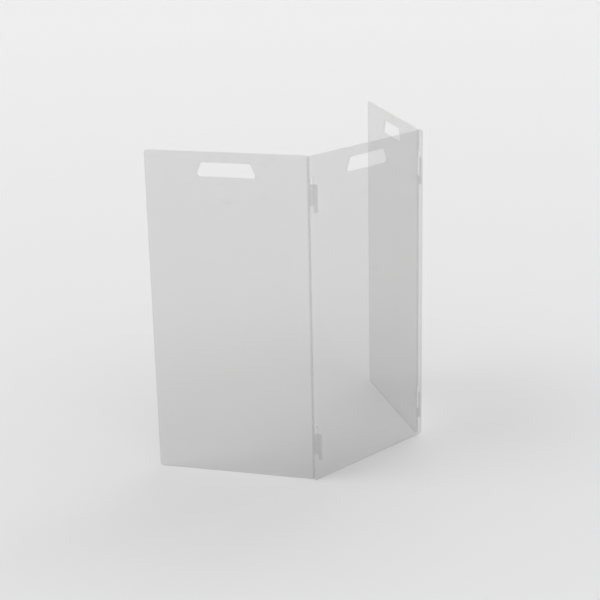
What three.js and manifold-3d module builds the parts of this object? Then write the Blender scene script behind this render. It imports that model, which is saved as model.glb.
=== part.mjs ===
// A freestanding microphone shield: three clear acrylic panels in a half-hexagon plan.
// Each wing hangs on the centre panel by two hook tabs cut in its inner edge, and swings on them.
//
// Millimetres, +Z up. The origin is the middle of the footprint, on the surface it stands on.
// The centre panel lies along X. -Y is the outer side and the microphone stands on the +Y side.
import * as THREE from "three";
import { mergeVertices } from "three/addons/utils/BufferGeometryUtils.js";
import Module from "manifold-3d";

const wasm = await Module();
wasm.setup();

// ---- driving dimensions ----

// Every panel is cut from the same sheet to the same size.
const panelHeight = 610;
const panelWidth = 302;
const sheetThickness = 4.5;
const cornerRadius = 6;

// Inside angle between the centre panel and a wing, in degrees, with the wings fully open.
// They swing in from there until they are square to the centre panel.
const openAngle = 120;

// Where a wing's middle plane meets the back of the centre panel, from the panel's end.
const endMargin = 7.8;

// Free space that neighbouring faces keep.
const gap = 0.3;

// The hand slot near the top of each panel, wider at its bottom.
const handSlotTopWidth = 91;
const handSlotBottomWidth = 113;
const handSlotHeight = 26.3;
const handSlotBelowTop = 18.5;
const handSlotRadius = 5.5;

// Hook tabs: a neck goes through the centre panel and a prong hangs down in front of it.
const hookTops = [559, 90];
const hookHeight = 50;
const neckHeight = 37;
const prongWidth = 5.5;
const prongRadius = 1.5;
const innerRadius = 0.5;

// Tab slots in the centre panel: tall enough for the whole hook to pass, before it drops.
const tabSlotSpareHeight = 0.8;
const tabSlotRadius = 0.5;

// Facets of a quarter-round corner are twice this number.
const curveSegments = 6;

// ---- worked-out dimensions ----

const wingDirection = THREE.MathUtils.degToRad(180 - openAngle);
const lean = Math.PI / 2 - wingDirection;

// A neck's ends are square to the wing, so between them the leaning centre panel takes up its own
// thickness seen at the lean, what the lean adds, and the gap twice.
const neckLength = (sheetThickness * (1 + Math.sin(lean)) + 2 * gap) / Math.cos(lean);

// A tab slot's side walls slope the way a wing does, but less. The same slot then stops the wing
// by one pair of its edges fully open and by the other pair square to the centre panel.
const slotSlope = (1 / Math.cos(lean) + Math.tan(lean) - 1) / 2;
const slotWidth = sheetThickness * (1 + slotSlope) + (2 * gap) / Math.cos(lean);

// A wing turns about the point where its middle plane crosses the centre panel's.
const pivotX = panelWidth / 2 - endMargin - (sheetThickness / 2) * Math.tan(lean);
const shoulder = neckLength / 2;
const wingEnd = shoulder + panelWidth;
const hookTip = shoulder + prongWidth;

// The footprint runs from the prongs in front to the wings' far ends.
const thicknessReach = (sheetThickness / 2) * Math.sin(lean);
const frontReach = hookTip * Math.cos(lean) + thicknessReach;
const backReach = wingEnd * Math.cos(lean) + thicknessReach;
const centrePlaneY = (frontReach - backReach) / 2;

// ---- outlines ----

// Adds a closed outline through [x, z, radius] corners to a path, each corner a true arc.
function roundedOutline(path, corners) {
  const count = corners.length;
  corners.forEach(([x, z, radius], i) => {
    const corner = new THREE.Vector2(x, z);
    const before = new THREE.Vector2(...corners[(i + count - 1) % count]).sub(corner).normalize();
    const after = new THREE.Vector2(...corners[(i + 1) % count]).sub(corner).normalize();
    const halfAngle = Math.acos(before.dot(after)) / 2;
    const inward = before.clone().add(after).normalize();
    const centre = inward.multiplyScalar(radius / Math.sin(halfAngle)).add(corner);
    const reach = radius / Math.tan(halfAngle);
    const start = before.clone().multiplyScalar(reach).add(corner).sub(centre);
    const end = after.clone().multiplyScalar(reach).add(corner).sub(centre);
    const clockwise = before.cross(after) > 0;
    path.absarc(centre.x, centre.y, radius, start.angle(), end.angle(), clockwise);
  });
  path.closePath();
  return path;
}

// The hand slot of a panel whose middle is at x = middle.
function handSlot(middle) {
  const top = panelHeight - handSlotBelowTop;
  const bottom = top - handSlotHeight;
  return roundedOutline(new THREE.Path(), [
    [middle - handSlotBottomWidth / 2, bottom, handSlotRadius],
    [middle - handSlotTopWidth / 2, top, handSlotRadius],
    [middle + handSlotTopWidth / 2, top, handSlotRadius],
    [middle + handSlotBottomWidth / 2, bottom, handSlotRadius],
  ]);
}

// The corners of one hook, from its top at the shoulder, out, down and back to the shoulder.
function hookCorners(hookTop) {
  const neckBottom = hookTop - neckHeight;
  const prongBottom = hookTop - hookHeight;
  return [
    [shoulder, hookTop, innerRadius],
    [-hookTip, hookTop, prongRadius],
    [-hookTip, prongBottom, prongRadius],
    [-shoulder, prongBottom, prongRadius],
    [-shoulder, neckBottom, innerRadius],
    [shoulder, neckBottom, innerRadius],
  ];
}

// ---- solids ----

// An outline drawn in x and z as a slab that stands up, with its middle plane at y = 0.
function slab(outline, thickness) {
  const geometry = new THREE.ExtrudeGeometry(outline, {
    depth: thickness,
    bevelEnabled: false,
    curveSegments,
  });
  geometry.translate(0, 0, -thickness / 2);
  geometry.rotateX(Math.PI / 2);
  return geometry;
}

// The space of the slot that a wing's hook goes through, centred on the wing's pivot.
function tabSlot(side, hookTop) {
  const bottom = hookTop - neckHeight - gap;
  const top = bottom + hookHeight + tabSlotSpareHeight;
  const outline = roundedOutline(new THREE.Shape(), [
    [side * pivotX - slotWidth / 2, bottom, tabSlotRadius],
    [side * pivotX + slotWidth / 2, bottom, tabSlotRadius],
    [side * pivotX + slotWidth / 2, top, tabSlotRadius],
    [side * pivotX - slotWidth / 2, top, tabSlotRadius],
  ]);
  const slope = new THREE.Matrix4().makeShear(0, 0, side * slotSlope, 0, 0, 0);
  return slab(outline, 2 * sheetThickness).applyMatrix4(slope);
}

function toManifold(geometry) {
  geometry.deleteAttribute("normal");
  geometry.deleteAttribute("uv");
  const merged = mergeVertices(geometry);
  return new wasm.Manifold(
    new wasm.Mesh({
      numProp: 3,
      vertProperties: merged.attributes.position.array,
      triVerts: Uint32Array.from(merged.index.array),
    }),
  );
}

// A geometry with others cut out of it.
function cutAway(geometry, cutters) {
  const left = cutters.reduce((body, cutter) => body.subtract(toManifold(cutter)), toManifold(geometry));
  const { vertProperties, triVerts } = left.getMesh();
  const indexed = new THREE.BufferGeometry();
  indexed.setAttribute("position", new THREE.BufferAttribute(vertProperties, 3));
  indexed.setIndex(new THREE.BufferAttribute(triVerts, 1));
  const cut = indexed.toNonIndexed();
  cut.computeVertexNormals();
  return cut;
}

// ---- panels ----

const acrylic = {
  color: 0xdfe1e2,
  roughness: 0.05,
  metalness: 0,
  transparent: true,
  opacity: 0.35,
};

function panel(name, geometry) {
  const mesh = new THREE.Mesh(geometry, new THREE.MeshStandardMaterial(acrylic));
  mesh.name = name;
  return mesh;
}

function centrePanel() {
  const half = panelWidth / 2;
  const outline = roundedOutline(new THREE.Shape(), [
    [-half, 0, cornerRadius],
    [half, 0, cornerRadius],
    [half, panelHeight, cornerRadius],
    [-half, panelHeight, cornerRadius],
  ]);
  outline.holes.push(handSlot(0));
  const tabSlots = [-1, 1].flatMap((side) => hookTops.map((hookTop) => tabSlot(side, hookTop)));
  return panel("centre_panel", cutAway(slab(outline, sheetThickness), tabSlots));
}

// A wing with its pivot at x = 0, its hooks on the -x side and its body on the +x side.
function wingPanel(name) {
  const outline = roundedOutline(new THREE.Shape(), [
    [shoulder, 0, cornerRadius],
    [wingEnd, 0, cornerRadius],
    [wingEnd, panelHeight, cornerRadius],
    [shoulder, panelHeight, cornerRadius],
    ...hookTops.flatMap(hookCorners),
  ]);
  outline.holes.push(handSlot(shoulder + panelWidth / 2));
  return panel(name, slab(outline, sheetThickness));
}

// ---- assembly ----

const shield = new THREE.Group();
shield.position.y = centrePlaneY;

shield.add(centrePanel());

const leftWing = wingPanel("left_wing");
leftWing.position.x = -pivotX;
leftWing.rotation.z = Math.PI - wingDirection;
shield.add(leftWing);

const rightWing = wingPanel("right_wing");
rightWing.position.x = pivotX;
rightWing.rotation.z = wingDirection;
shield.add(rightWing);

export default shield;
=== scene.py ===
"""Looks for the freestanding acrylic microphone shield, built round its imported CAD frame.

Every visible piece is a polished copy of its CAD sheet: the same outline with its arris rounded,
in clear, slightly smoky acrylic. Metres, +Z up, the frame's own axes.

A sheet has two broad faces, which face along its through direction, and a wall round its outline
and round each hole. Its own "sheet_place" attribute says where on the sheet a point is.
"""
import math

import bmesh
import bpy
from mathutils import Matrix, Vector
from mathutils.geometry import delaunay_2d_cdt

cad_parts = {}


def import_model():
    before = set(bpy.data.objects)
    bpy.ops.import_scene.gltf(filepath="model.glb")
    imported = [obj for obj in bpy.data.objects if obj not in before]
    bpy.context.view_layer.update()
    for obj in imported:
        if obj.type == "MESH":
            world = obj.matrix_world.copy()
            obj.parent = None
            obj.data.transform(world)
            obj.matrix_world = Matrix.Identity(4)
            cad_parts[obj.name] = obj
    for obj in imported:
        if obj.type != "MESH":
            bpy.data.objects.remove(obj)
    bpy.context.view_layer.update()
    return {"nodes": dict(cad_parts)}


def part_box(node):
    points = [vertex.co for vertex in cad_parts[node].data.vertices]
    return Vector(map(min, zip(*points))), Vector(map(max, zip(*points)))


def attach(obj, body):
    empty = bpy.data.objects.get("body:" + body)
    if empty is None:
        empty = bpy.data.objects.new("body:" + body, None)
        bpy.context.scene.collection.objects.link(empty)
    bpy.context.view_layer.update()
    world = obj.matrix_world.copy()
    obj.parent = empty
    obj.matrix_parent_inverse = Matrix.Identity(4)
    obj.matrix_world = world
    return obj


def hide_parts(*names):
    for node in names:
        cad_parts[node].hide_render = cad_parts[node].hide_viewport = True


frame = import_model()

# The CAD sheets, and the body that carries each.
SHEETS = {"centre_panel": "centre", "left_wing": "left", "right_wing": "right"}

# The rounding between a broad face and the wall.
ARRIS = 0.0004
ARRIS_SEGMENTS = 2
# The CAD's triangles are joined up where they meet flatter than this.
FLAT_ANGLE = math.radians(0.5)
# A face is broad where the cosine between its normal and the sheet's is more than this.
BROAD_COSINE = 0.99
# A rim runs on straight where the sine between its neighbouring walls is less than this.
STRAIGHT_SINE = 0.01
# Points closer than this are one.
WELD = 1e-6
# What delaunay_2d_cdt is asked for: only the triangles inside the outlines.
TRIANGLES_INSIDE = 1
# The weighted-normal modifier's highest weight: a large face sets the normals along its border.
LARGE_FACES_RULE = 100

# Camera: its place, in panel heights from the middle of the foot of the centre panel's front
# face, its turns in degrees, and its lens and sensor in millimetres.
CAMERA_PLACE = (-3.1407, -2.8801, 1.9183)
CAMERA_YAW = 44.6736
CAMERA_PITCH = 18.1902
CAMERA_ROLL = -1.2618
CAMERA_LENS = 88.86
SENSOR_WIDTH = 36.0

# Acrylic: how much of the light each surface passes, and the grey of its dust and haze.
ACRYLIC_IOR = 1.49
SURFACE_PASS = 0.897
HAZE_GREY = 0.8
SHEET_PLACE = "sheet_place"

# Marks on the broad faces. WAVES are per metre along the sheet, through it and up, and NOISE is
# the stretch of the noise that a mark grows over.
RIPPLE_WAVES = (22, 0, 16)
RIPPLE_DEPTH = 5e-5
STREAK_WAVES = (14, 0, 240)
STREAK_STRENGTH = 0.25
SMUDGE_WAVES = (70, 0, 70)
SMUDGE_NOISE = (0.5, 0.75)
# The smudges fade out between these distances from the hand slot's middle.
HAND_SLOT_PLACE = (0, 0, 0.578)
SMUDGE_NEAR = 0.05
SMUDGE_FAR = 0.16
FACE_ROUGHNESS = 0.01
MARK_ROUGHNESS = 0.1
MARK_HAZE = 0.02

# Marks on the walls: cutting lines, with patches round the outline where they are hazier.
CUT_WAVES = (900, 30, 900)
CUT_DEPTH = 1e-5
CUT_NOISE = (0.3, 0.7)
PATCH_WAVES = (120, 0, 120)
PATCH_NOISE = (0.1, 0.5)
WALL_ROUGHNESS = (0.06, 0.2)
WALL_HAZE = (0.02, 0.06)

# Studio. The floor's greys by the distance from its middle, in metres.
# These greys are painted shade and light: darker round the object in the middle, paler farther out, as
# the studio's light falls across the floor.
FLOOR_PAINTED_LIGHT_GREYS = [
    (0, 0.75),
    (0.35, 0.75),
    (0.8, 0.808),
    (1.1, 0.829),
    (2, 0.85),
    (3.6, 0.871),
    (6, 0.89),
]
FLOOR_RADIUS = 12
FLOOR_SIDES = 96
FLOOR_DROP = 0.0004
# The studio's brightness by the sine of the angle above the horizon.
SKY = [(-1, 0.86), (0.2, 0.86), (0.5, 0.4), (1, 0.4)]
# Soft lamps far off: the side each shines from, its height, both in degrees, and its strength.
LAMPS = [
    (0, 35, 0.64),
    (30, 50, 0.76),
    (150, 50, 0.95),
    (240, 50, 0.87),
    (120, 70, 0.25),
    (300, 70, 0.48),
]
LAMP_WIDTH = 35
# How many clear surfaces a ray may pass.
MOST_CLEAR_LAYERS = 24


# ---- small node helpers ----

def new_material(name):
    """A material with an empty node tree and its output node."""
    material = bpy.data.materials.new(name)
    material.use_nodes = True
    tree = material.node_tree
    tree.nodes.clear()
    output = tree.nodes.new("ShaderNodeOutputMaterial")
    return material, tree, output


def math_node(tree, operation, *values):
    """A Math node. Each value is a number or a socket to link."""
    node = tree.nodes.new("ShaderNodeMath")
    node.operation = operation
    for socket, value in zip(node.inputs, values):
        if isinstance(value, (int, float)):
            socket.default_value = value
        else:
            tree.links.new(value, socket)
    return node.outputs[0]


# ---- acrylic ----

def sheet_place(tree):
    """The place on the sheet itself: along it from its middle, through it, and up, in metres."""
    node = tree.nodes.new("ShaderNodeAttribute")
    node.attribute_name = SHEET_PLACE
    return node.outputs["Vector"]


def noise(tree, place, waves, detail=2.0):
    """Smooth noise from 0 to 1, with so many waves per metre along each of the place's axes."""
    scaled = tree.nodes.new("ShaderNodeVectorMath")
    scaled.operation = "MULTIPLY"
    scaled.inputs[1].default_value = waves
    tree.links.new(place, scaled.inputs[0])
    texture = tree.nodes.new("ShaderNodeTexNoise")
    texture.inputs["Scale"].default_value = 1
    texture.inputs["Detail"].default_value = detail
    tree.links.new(scaled.outputs[0], texture.inputs["Vector"])
    return texture.outputs[0]


def ramp(tree, value, start, end, low=0.0, high=1.0):
    """Takes value's stretch from start to end to the one from low to high, eased at both ends."""
    node = tree.nodes.new("ShaderNodeMapRange")
    node.interpolation_type = "SMOOTHSTEP"
    node.inputs["From Min"].default_value = start
    node.inputs["From Max"].default_value = end
    node.inputs["To Min"].default_value = low
    node.inputs["To Max"].default_value = high
    tree.links.new(value, node.inputs["Value"])
    return node.outputs[0]


def bump(tree, height, depth):
    """A normal for a height from 0 to 1 that stands for so many metres."""
    node = tree.nodes.new("ShaderNodeBump")
    node.inputs["Distance"].default_value = depth
    tree.links.new(height, node.inputs["Height"])
    return node.outputs[0]


def clear_shader(tree, output, roughness, haze, normal):
    """Makes a clear plastic surface from sockets for its roughness, its haze and its normal.

    It passes light straight through and mirrors its Fresnel share. The haze covers both in grey.
    """
    links = tree.links
    geometry = tree.nodes.new("ShaderNodeNewGeometry")
    # A ray leaves through a back face unbent here, so its Fresnel share is the front face's.
    outside_ior = math_node(tree, "MULTIPLY", geometry.outputs["Backfacing"],
                            1 / ACRYLIC_IOR - ACRYLIC_IOR)
    fresnel = tree.nodes.new("ShaderNodeFresnel")
    links.new(math_node(tree, "ADD", outside_ior, ACRYLIC_IOR), fresnel.inputs["IOR"])
    clear = tree.nodes.new("ShaderNodeBsdfTransparent")
    clear.inputs["Color"].default_value = (SURFACE_PASS, SURFACE_PASS, SURFACE_PASS, 1)
    gloss = tree.nodes.new("ShaderNodeBsdfGlossy")
    gloss.inputs["Color"].default_value = (1, 1, 1, 1)
    links.new(roughness, gloss.inputs["Roughness"])
    links.new(normal, gloss.inputs["Normal"])
    links.new(normal, fresnel.inputs["Normal"])
    polished = tree.nodes.new("ShaderNodeMixShader")
    links.new(fresnel.outputs[0], polished.inputs[0])
    links.new(clear.outputs[0], polished.inputs[1])
    links.new(gloss.outputs[0], polished.inputs[2])
    matt = tree.nodes.new("ShaderNodeBsdfDiffuse")
    matt.inputs["Color"].default_value = (HAZE_GREY, HAZE_GREY, HAZE_GREY, 1)
    surface = tree.nodes.new("ShaderNodeMixShader")
    links.new(haze, surface.inputs[0])
    links.new(polished.outputs[0], surface.inputs[1])
    links.new(matt.outputs[0], surface.inputs[2])
    links.new(surface.outputs[0], output.inputs["Surface"])


def face_acrylic():
    """The broad faces: cast sheet's faint ripple, fine wiping streaks, and smudges at the hand slot."""
    material, tree, output = new_material("clear_acrylic")
    place = sheet_place(tree)
    ripple = noise(tree, place, RIPPLE_WAVES)
    streaks = noise(tree, place, STREAK_WAVES, detail=4.0)
    blots = ramp(tree, noise(tree, place, SMUDGE_WAVES, detail=4.0), *SMUDGE_NOISE)
    from_slot = tree.nodes.new("ShaderNodeVectorMath")
    from_slot.operation = "DISTANCE"
    from_slot.inputs[1].default_value = HAND_SLOT_PLACE
    tree.links.new(place, from_slot.inputs[0])
    handled = ramp(tree, from_slot.outputs["Value"], SMUDGE_FAR, SMUDGE_NEAR)
    smudges = math_node(tree, "MULTIPLY", blots, handled)
    marks = math_node(tree, "MULTIPLY_ADD", streaks, STREAK_STRENGTH, smudges)
    roughness = math_node(tree, "MULTIPLY_ADD", marks, MARK_ROUGHNESS, FACE_ROUGHNESS)
    haze = math_node(tree, "MULTIPLY", marks, MARK_HAZE)
    clear_shader(tree, output, roughness, haze, bump(tree, ripple, RIPPLE_DEPTH))
    return material


def edge_acrylic():
    """The walls, where the sheet was cut: flame-polished over fine lines that run through it."""
    material, tree, output = new_material("clear_acrylic_cut_edge")
    place = sheet_place(tree)
    lines = noise(tree, place, CUT_WAVES, detail=3.0)
    patches = math_node(tree, "MULTIPLY", lines, noise(tree, place, PATCH_WAVES))
    roughness = ramp(tree, lines, *CUT_NOISE, *WALL_ROUGHNESS)
    haze = ramp(tree, patches, *PATCH_NOISE, *WALL_HAZE)
    clear_shader(tree, output, roughness, haze, bump(tree, lines, CUT_DEPTH))
    return material


# ---- sheets ----

def is_broad(face, outward):
    """Whether a face is part of the broad face that faces outward."""
    return face.normal.dot(outward) > BROAD_COSINE


def rims(bm, outward):
    """The rims of the broad face that faces outward, each a ring of that face's own loops."""
    rim_loops = {}
    for face in bm.faces:
        if is_broad(face, outward):
            for loop in face.loops:
                if not is_broad(loop.link_loop_radial_next.face, outward):
                    rim_loops[loop.vert] = loop
    rings = []
    while rim_loops:
        first = next(iter(rim_loops))
        ring = [rim_loops.pop(first)]
        while ring[-1].link_loop_next.vert is not first:
            ring.append(rim_loops.pop(ring[-1].link_loop_next.vert))
        rings.append(ring)
    return rings


def corner_ways(before, after, outward):
    """The ways from a rim's corner into the broad face and down the walls.

    before and after are the rim's loops that reach the corner and leave it. One unit of a way takes
    the corner one unit in from both walls, or one unit below the broad face.
    """
    inward = [outward.cross(loop.link_loop_next.vert.co - loop.vert.co).normalized()
              for loop in (before, after)]
    inset = (inward[0] + inward[1]) / (1 + inward[0].dot(inward[1]))
    walls = [loop.link_loop_radial_next.face.normal for loop in (before, after)]
    sunk = walls[0].cross(walls[1])
    if sunk.length < STRAIGHT_SINE:
        # The two walls are one, so the way is straight down it.
        sunk = walls[0] * walls[0].dot(outward) - outward
    return inset, sunk / -sunk.dot(outward)


def flat_fill(bm, rings, outward):
    """Fills a flat outline with triangles and leaves its holes open.

    Seen from outward, the outline's ring turns left and the holes' rings turn right.
    """
    along = Vector((0, 0, 1)).cross(outward)
    verts = []
    outlines = []
    for ring in rings:
        outlines.append(list(range(len(verts), len(verts) + len(ring))))
        verts += ring
    places = [Vector((vert.co.dot(along), vert.co.z)) for vert in verts]
    for index, outline in enumerate(outlines):
        steps = zip(outline, outline[1:] + outline[:1])
        if sum(places[a].cross(places[b]) for a, b in steps) > 0:
            outer = index
        else:
            outline.reverse()
    _, _, triangles, sources, _, owners = delaunay_2d_cdt(places, [], outlines, TRIANGLES_INSIDE, WELD)
    for triangle, inside in zip(triangles, owners):
        if inside == [outer]:
            bm.faces.new([verts[sources[i][0]] for i in triangle])


def round_arris(bm, outward):
    """Makes one broad face anew with a rounded rim: rings of an arc round it, and a flat fill."""
    corners = []
    for rim in rims(bm, outward):
        ways = [corner_ways(before, after, outward) for before, after in zip(rim[-1:] + rim, rim)]
        corners.append([(loop.vert, loop.vert.co.copy(), *way) for loop, way in zip(rim, ways)])
    broad = [face for face in bm.faces if is_broad(face, outward)]
    bmesh.ops.delete(bm, geom=broad, context="FACES")
    inner_rings = []
    for rim in corners:
        ring = []
        for vert, place, _, sunk in rim:
            vert.co = place + sunk * ARRIS
            ring.append(vert)
        for step in range(1, ARRIS_SEGMENTS + 1):
            turn = math.pi / 2 * step / ARRIS_SEGMENTS
            reach = ARRIS * (1 - math.cos(turn))
            depth = ARRIS * (1 - math.sin(turn))
            inner = [bm.verts.new(place + inset * reach + sunk * depth) for _, place, inset, sunk in rim]
            for i in range(len(ring)):
                bm.faces.new((ring[i - 1], ring[i], inner[i], inner[i - 1]))
            ring = inner
        inner_rings.append(ring)
    flat_fill(bm, inner_rings, outward)


def store_places(mesh, through):
    """Keeps each vertex's place on its own sheet: along it from its middle, through it, and up."""
    along = Vector((0, 0, 1)).cross(through)
    columns = []
    for axis in (along, through):
        reach = [vertex.co.dot(axis) for vertex in mesh.vertices]
        middle = (min(reach) + max(reach)) / 2
        columns.append([value - middle for value in reach])
    places = mesh.attributes.new(SHEET_PLACE, "FLOAT_VECTOR", "POINT")
    for vertex, place, x, y in zip(mesh.vertices, places.data, *columns):
        place.vector = (x, y, vertex.co.z)


def polished_sheet(node, body, materials):
    """A copy of a CAD sheet with flat broad faces and a rounded, polished arris.

    The materials are the broad faces' and the walls', in that order.
    """
    mesh = frame["nodes"][node].data.copy()
    mesh.name = node + "_polished"
    mesh.materials.clear()
    for material in materials:
        mesh.materials.append(material)
    bm = bmesh.new()
    bm.from_mesh(mesh)
    bmesh.ops.remove_doubles(bm, verts=bm.verts, dist=WELD)
    bmesh.ops.dissolve_limit(bm, angle_limit=FLAT_ANGLE, verts=bm.verts, edges=bm.edges)
    through = max(bm.faces, key=lambda f: f.calc_area()).normal.copy()
    for outward in (through, -through):
        round_arris(bm, outward)
    bm.normal_update()
    for face in bm.faces:
        face.smooth = True
        face.material_index = 0 if is_broad(face, through) or is_broad(face, -through) else 1
    bm.to_mesh(mesh)
    bm.free()
    store_places(mesh, through)
    piece = bpy.data.objects.new(node + "_acrylic", mesh)
    bpy.context.scene.collection.objects.link(piece)
    weighted = piece.modifiers.new("flat_faces", "WEIGHTED_NORMAL")
    weighted.weight = LARGE_FACES_RULE
    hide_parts(node)
    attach(piece, body)


# ---- studio ----

def grey_ramp(tree, value, stops, start, end):
    """A grey read off the stops, (place, grey) pairs, where value lies from start to end."""
    share = tree.nodes.new("ShaderNodeMapRange")
    share.inputs["From Min"].default_value = start
    share.inputs["From Max"].default_value = end
    tree.links.new(value, share.inputs["Value"])
    colours = tree.nodes.new("ShaderNodeValToRGB")
    marks = colours.color_ramp.elements
    while len(marks) < len(stops):
        marks.new(1)
    for mark, (place, grey) in zip(marks, stops):
        mark.position = (place - start) / (end - start)
        mark.color = (grey, grey, grey, 1)
    tree.links.new(share.outputs[0], colours.inputs[0])
    return colours.outputs["Color"]


def world():
    """A plain soft studio: the far floor's tone up to and past the horizon, darker overhead."""
    sky = bpy.data.worlds.new("studio")
    bpy.context.scene.world = sky
    sky.use_nodes = True
    tree = sky.node_tree
    tree.nodes.clear()
    output = tree.nodes.new("ShaderNodeOutputWorld")
    background = tree.nodes.new("ShaderNodeBackground")
    coordinate = tree.nodes.new("ShaderNodeTexCoord")
    split = tree.nodes.new("ShaderNodeSeparateXYZ")
    tree.links.new(coordinate.outputs["Generated"], split.inputs[0])
    tree.links.new(grey_ramp(tree, split.outputs["Z"], SKY, -1, 1), background.inputs["Color"])
    tree.links.new(background.outputs[0], output.inputs["Surface"])
    # The lamps alone light matt surfaces; the studio's walls are only seen and mirrored.
    sky.cycles_visibility.diffuse = False


def lamps():
    """Broad soft lamps all round the object, so that its shadows stay faint."""
    for index, (azimuth, elevation, strength) in enumerate(LAMPS):
        data = bpy.data.lights.new(f"lamp_{index}", "SUN")
        data.energy = strength
        data.angle = math.radians(LAMP_WIDTH)
        lamp = bpy.data.objects.new(data.name, data)
        turn = Matrix.Rotation(math.radians(azimuth), 4, "Z")
        tilt = Matrix.Rotation(math.radians(90 - elevation), 4, "Y")
        lamp.matrix_world = turn @ tilt
        bpy.context.scene.collection.objects.link(lamp)


def floor():
    """A wide matt floor with painted light: its grey is darker round the object and paler with the
    distance until it meets the studio's own tone.
    """
    mesh = bpy.data.meshes.new("floor")
    bm = bmesh.new()
    bmesh.ops.create_circle(bm, cap_ends=True, segments=FLOOR_SIDES, radius=FLOOR_RADIUS)
    bm.to_mesh(mesh)
    bm.free()
    disc = bpy.data.objects.new("floor", mesh)
    disc.location.z = -FLOOR_DROP
    bpy.context.scene.collection.objects.link(disc)
    material, tree, output = new_material("pale_floor")
    coordinate = tree.nodes.new("ShaderNodeTexCoord")
    distance = tree.nodes.new("ShaderNodeVectorMath")
    distance.operation = "LENGTH"
    tree.links.new(coordinate.outputs["Object"], distance.inputs[0])
    matt = tree.nodes.new("ShaderNodeBsdfDiffuse")
    # The floor's grey is painted light: darker near the object, paler farther out.
    grey = grey_ramp(tree, distance.outputs["Value"], FLOOR_PAINTED_LIGHT_GREYS, 0, FLOOR_RADIUS)
    tree.links.new(grey, matt.inputs["Color"])
    tree.links.new(matt.outputs[0], output.inputs["Surface"])
    mesh.materials.append(material)


def camera():
    """The camera at the photograph's place, worked out from the centre panel's own box."""
    low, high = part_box("centre_panel")
    height = high.z - low.z
    foot = Vector(((low.x + high.x) / 2, low.y, low.z))
    data = bpy.data.cameras.new("camera")
    data.lens = CAMERA_LENS
    data.sensor_width = SENSOR_WIDTH
    eye = bpy.data.objects.new("camera", data)
    turn = Matrix.Rotation(math.radians(-CAMERA_YAW), 4, "Z")
    tilt = Matrix.Rotation(math.radians(90 - CAMERA_PITCH), 4, "X")
    roll = Matrix.Rotation(math.radians(CAMERA_ROLL), 4, "Z")
    place = Matrix.Translation(foot + height * Vector(CAMERA_PLACE))
    eye.matrix_world = place @ turn @ tilt @ roll
    bpy.context.scene.collection.objects.link(eye)
    bpy.context.scene.camera = eye


# ---- scene ----

acrylic = (face_acrylic(), edge_acrylic())
for node, body in SHEETS.items():
    polished_sheet(node, body, acrylic)

world()
lamps()
floor()
camera()
bpy.context.scene.view_settings.view_transform = "Standard"
bpy.context.scene.cycles.transparent_max_bounces = MOST_CLEAR_LAYERS
